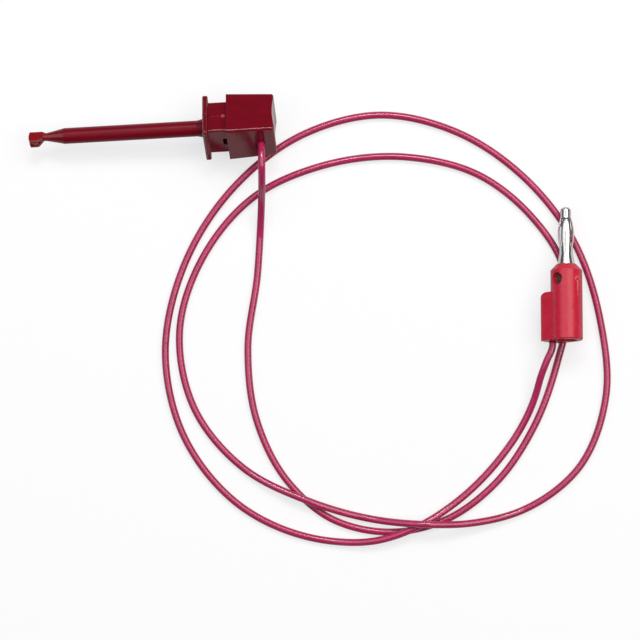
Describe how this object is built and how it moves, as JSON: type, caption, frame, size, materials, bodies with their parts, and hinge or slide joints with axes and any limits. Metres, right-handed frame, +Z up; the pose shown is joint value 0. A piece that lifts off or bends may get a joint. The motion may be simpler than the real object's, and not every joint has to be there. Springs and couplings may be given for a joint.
{
  "type": "test lead",
  "caption": "Test lead with a plunger-action hook clip on one end, a stackable banana plug on the other and a limp insulated wire between them.",
  "frame": {"origin": "on the bench, under the middle of the clip and plug", "axes": "+X along the clip, from its hook towards the plug; +Z up from the bench"},
  "size_m": [0.1614, 0.1248, 0.0179],
  "materials": {
    "clip_plastic": "glossy moulded nylon, deep red",
    "plug_plastic": "satin moulded plastic, red",
    "wire_jacket": "smooth limp insulation, crimson",
    "hook_steel": "drawn spring wire",
    "terminal_brass": "turned brass",
    "nickel": "bright nickel plate",
    "copper_strands": "bare stranded copper",
    "solder": "solidified solder"
  },
  "bodies": {
    "lead": {"plunger_cap": "clip_plastic", "hook_rod": "hook_steel", "return_spring": "hook_steel", "spring_washer": "terminal_brass", "rod_terminal": "terminal_brass", "clip_wire_end": "wire_jacket", "clip_conductor": "copper_strands", "clip_solder": "solder", "plug_body": "plug_plastic", "plug_core": "nickel", "leaf_spring": "nickel", "plug_wire_end": "wire_jacket", "plug_conductor": "copper_strands", "plug_solder": "solder", "lead_wire": "wire_jacket"},
    "clip": {"clip_body": "clip_plastic"}
  },
  "joints": [
    {"name": "plunger_press", "type": "slide", "parent": "lead", "child": "clip", "axis": [0.9976, 0.054, 0.0436], "range_m": [0, 0.0045], "stiffness_N_per_m": 150, "springref_m": -0.01, "deforming": ["return_spring"]}
  ]
}
